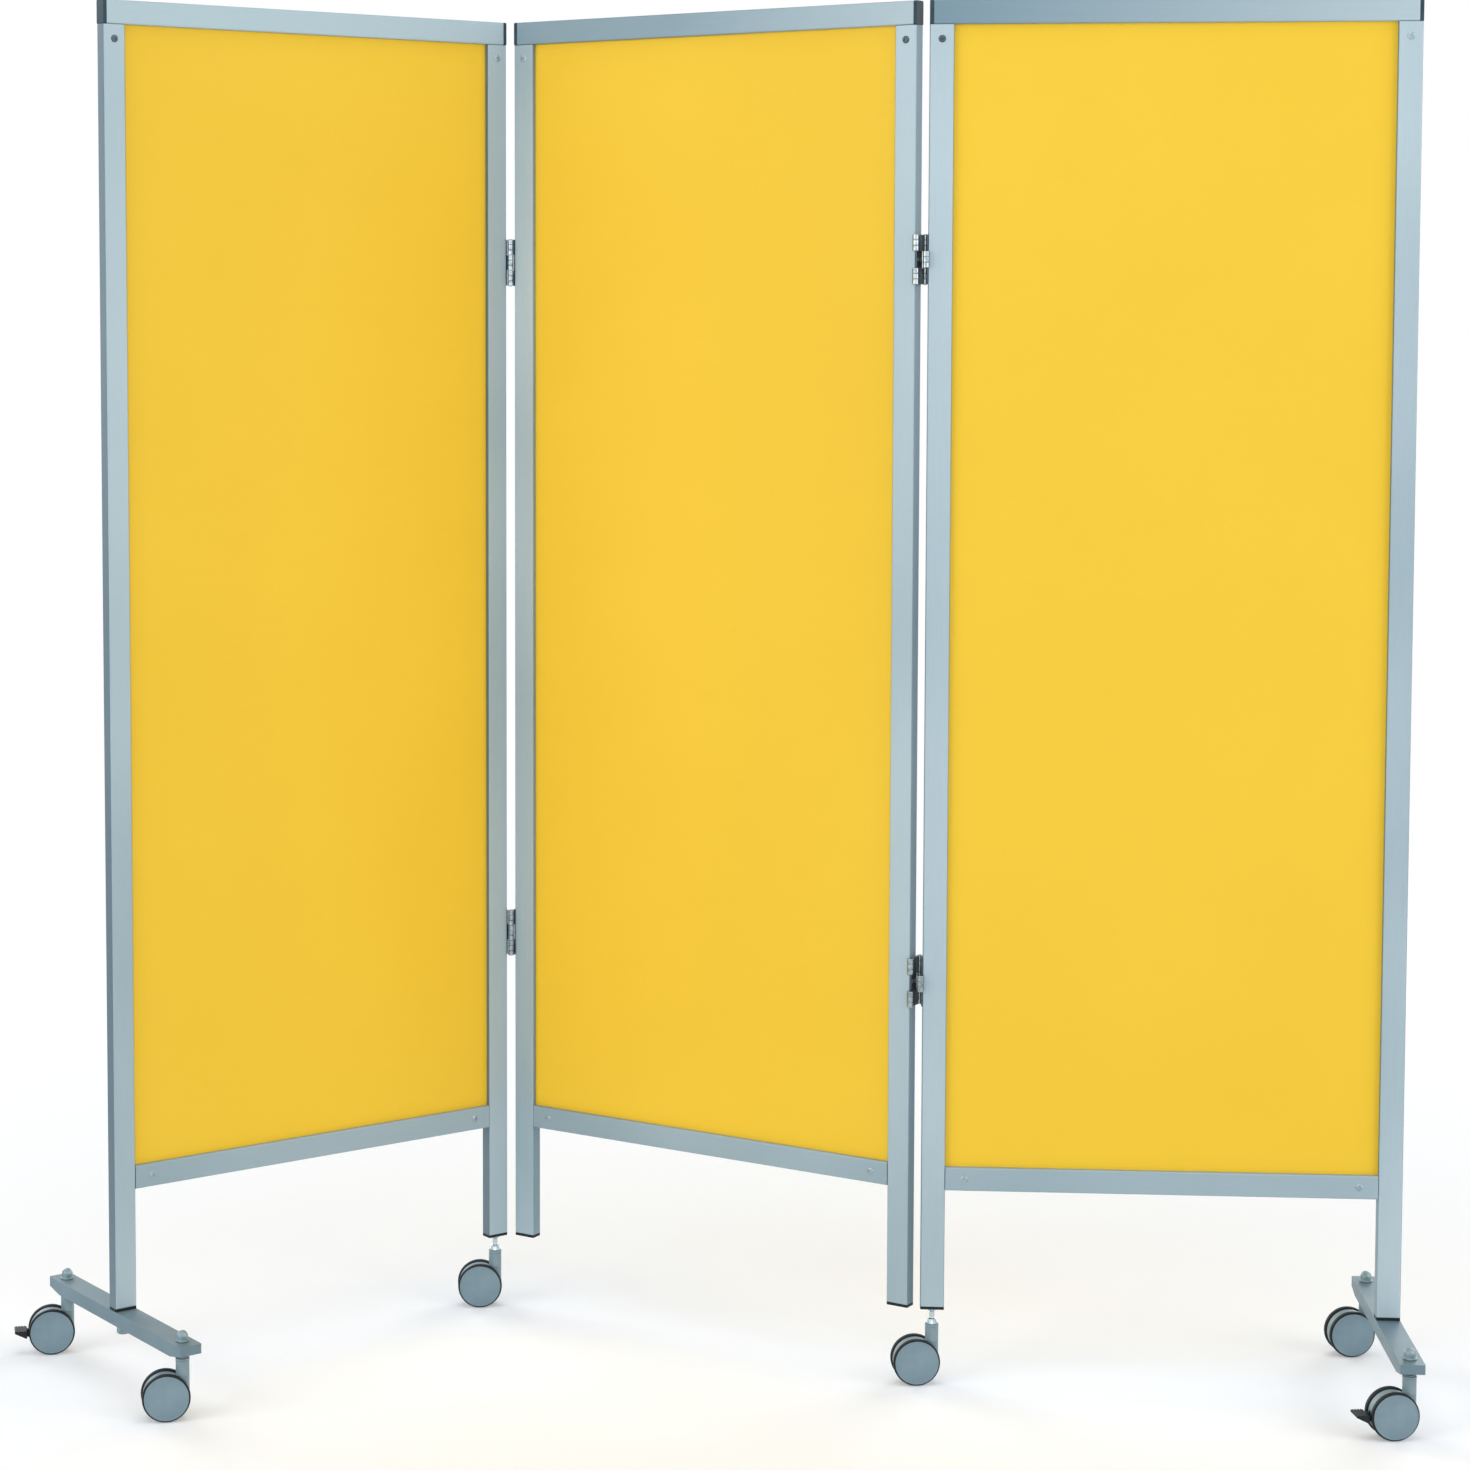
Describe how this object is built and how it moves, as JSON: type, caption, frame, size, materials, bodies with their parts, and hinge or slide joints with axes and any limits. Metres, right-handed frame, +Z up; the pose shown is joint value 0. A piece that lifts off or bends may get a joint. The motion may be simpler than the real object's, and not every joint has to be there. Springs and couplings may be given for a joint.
{
  "type": "folding privacy screen on castors",
  "caption": "Folding ward privacy screen: hinged metal-framed panels with flat infill boards, cross feet at the ends and twin-wheel swivel castors, two of them braked.",
  "frame": {"origin": "on the floor, under the middle of the screen's bounding box as it stands folded", "axes": "+X to the right across the screen, +Y away from the viewer, +Z up"},
  "size_m": [1.7868, 0.5838, 1.747],
  "materials": {
    "frame_paint": "smooth pale grey-blue paint",
    "foot_paint": "smooth grey-blue paint, darker than the frame",
    "board_laminate": "flat warm yellow laminate",
    "cap_plastic": "dark grey-blue moulded plastic",
    "black_plastic": "black moulded plastic",
    "hood_plastic": "grey-blue moulded plastic",
    "wheel_plastic": "grey-blue moulded wheel cover",
    "tyre_rubber": "black tread",
    "bright_steel": "bright plated steel",
    "hinge_steel": "polished steel",
    "screw_steel": "dark screw heads"
  },
  "bodies": {
    "middle_panel": {"middle_panel_board": "board_laminate", "middle_panel_left_cap": "cap_plastic", "middle_panel_left_plug": "black_plastic", "middle_panel_left_post": "frame_paint", "middle_panel_lower_rail": "frame_paint", "middle_panel_right_cap": "cap_plastic", "middle_panel_right_plug": "black_plastic", "middle_panel_right_post": "frame_paint", "middle_panel_top_rail": "frame_paint", "left_upper_hinge_leaf_b": "hinge_steel", "left_lower_hinge_leaf_b": "hinge_steel", "right_upper_hinge_leaf_a": "hinge_steel", "right_lower_hinge_leaf_a": "hinge_steel"},
    "left_panel": {"left_panel_board": "board_laminate", "left_panel_left_cap": "cap_plastic", "left_panel_left_plug": "black_plastic", "left_panel_left_post": "frame_paint", "left_panel_lower_rail": "frame_paint", "left_panel_right_cap": "cap_plastic", "left_panel_right_plug": "black_plastic", "left_panel_right_post": "frame_paint", "left_panel_top_rail": "frame_paint", "left_upper_hinge_leaf_a": "hinge_steel", "left_lower_hinge_leaf_a": "hinge_steel", "left_foot_bar": "foot_paint", "left_foot_bolt": "bright_steel", "left_front_castor_stem": "bright_steel", "left_back_castor_stem": "bright_steel", "left_hinge_castor_stem": "bright_steel"},
    "right_panel": {"right_panel_board": "board_laminate", "right_panel_left_cap": "cap_plastic", "right_panel_left_plug": "black_plastic", "right_panel_left_post": "frame_paint", "right_panel_lower_rail": "frame_paint", "right_panel_right_cap": "cap_plastic", "right_panel_right_plug": "black_plastic", "right_panel_right_post": "frame_paint", "right_panel_top_rail": "frame_paint", "right_upper_hinge_leaf_b": "hinge_steel", "right_lower_hinge_leaf_b": "hinge_steel", "right_foot_bar": "foot_paint", "right_foot_bolt": "bright_steel", "right_hinge_castor_stem": "bright_steel", "right_back_castor_stem": "bright_steel", "right_front_castor_stem": "bright_steel"},
    "left_front_hood": {"left_front_castor_hood": "hood_plastic"},
    "left_front_wheels": {"left_front_castor_wheels": "wheel_plastic"},
    "left_back_hood": {"left_back_castor_hood": "hood_plastic"},
    "left_back_wheels": {"left_back_castor_wheels": "wheel_plastic"},
    "left_back_pedal": {"left_back_castor_pedal": "black_plastic"},
    "left_hinge_hood": {"left_hinge_castor_hood": "hood_plastic"},
    "left_hinge_wheels": {"left_hinge_castor_wheels": "wheel_plastic"},
    "right_hinge_hood": {"right_hinge_castor_hood": "hood_plastic"},
    "right_hinge_wheels": {"right_hinge_castor_wheels": "wheel_plastic"},
    "right_back_hood": {"right_back_castor_hood": "hood_plastic"},
    "right_back_wheels": {"right_back_castor_wheels": "wheel_plastic"},
    "right_front_hood": {"right_front_castor_hood": "hood_plastic"},
    "right_front_wheels": {"right_front_castor_wheels": "wheel_plastic"},
    "right_front_pedal": {"right_front_castor_pedal": "black_plastic"}
  },
  "joints": [
    {"name": "left_fold", "type": "hinge", "parent": "middle_panel", "child": "left_panel", "pos_m": [-0.2419, 0.26523, 0.9], "axis": [0, 0, 1], "range_deg": [-68, 82]},
    {"name": "right_fold", "type": "hinge", "parent": "middle_panel", "child": "right_panel", "pos_m": [0.27834, -0.04673, 0.9], "axis": [0, 0, 1], "range_deg": [-28.5, 121.5]},
    {"name": "left_front_swivel", "type": "hinge", "parent": "left_panel", "child": "left_front_hood", "pos_m": [-0.64492, -0.18649, 0.07], "axis": [0, 0, 1], "continuous": true},
    {"name": "left_front_roll", "type": "hinge", "parent": "left_front_hood", "child": "left_front_wheels", "pos_m": [-0.66561, -0.19013, 0.03], "axis": [-0.1736, 0.9848, 0], "continuous": true},
    {"name": "left_back_swivel", "type": "hinge", "parent": "left_panel", "child": "left_back_hood", "pos_m": [-0.82334, 0.07311, 0.07], "axis": [0, 0, 1], "continuous": true},
    {"name": "left_back_roll", "type": "hinge", "parent": "left_back_hood", "child": "left_back_wheels", "pos_m": [-0.84402, 0.06946, 0.03], "axis": [-0.1736, 0.9848, 0], "continuous": true},
    {"name": "left_back_brake", "type": "hinge", "parent": "left_back_hood", "child": "left_back_pedal", "pos_m": [-0.8588, 0.06686, 0.028], "axis": [-0.1736, 0.9848, 0], "range_deg": [-12, 0]},
    {"name": "left_hinge_swivel", "type": "hinge", "parent": "left_panel", "child": "left_hinge_hood", "pos_m": [-0.26438, 0.26616, 0.07], "axis": [0, 0, 1], "continuous": true},
    {"name": "left_hinge_roll", "type": "hinge", "parent": "left_hinge_hood", "child": "left_hinge_wheels", "pos_m": [-0.28537, 0.26543, 0.03], "axis": [-0.0349, 0.9994, 0], "continuous": true},
    {"name": "right_hinge_swivel", "type": "hinge", "parent": "right_panel", "child": "right_hinge_hood", "pos_m": [0.29509, -0.06174, 0.07], "axis": [0, 0, 1], "continuous": true},
    {"name": "right_hinge_roll", "type": "hinge", "parent": "right_hinge_hood", "child": "right_hinge_wheels", "pos_m": [0.27412, -0.06284, 0.03], "axis": [-0.0523, 0.9986, 0], "continuous": true},
    {"name": "right_back_swivel", "type": "hinge", "parent": "right_panel", "child": "right_back_hood", "pos_m": [0.87665, 0.04548, 0.07], "axis": [0, 0, 1], "continuous": true},
    {"name": "right_back_roll", "type": "hinge", "parent": "right_back_hood", "child": "right_back_wheels", "pos_m": [0.8557, 0.04401, 0.03], "axis": [-0.0698, 0.9976, 0], "continuous": true},
    {"name": "right_front_swivel", "type": "hinge", "parent": "right_panel", "child": "right_front_hood", "pos_m": [0.8492, -0.26832, 0.07], "axis": [0, 0, 1], "continuous": true},
    {"name": "right_front_roll", "type": "hinge", "parent": "right_front_hood", "child": "right_front_wheels", "pos_m": [0.82827, -0.27015, 0.03], "axis": [-0.0872, 0.9962, 0], "continuous": true},
    {"name": "right_front_brake", "type": "hinge", "parent": "right_front_hood", "child": "right_front_pedal", "pos_m": [0.81333, -0.27146, 0.028], "axis": [-0.0872, 0.9962, 0], "range_deg": [-12, 0]}
  ]
}
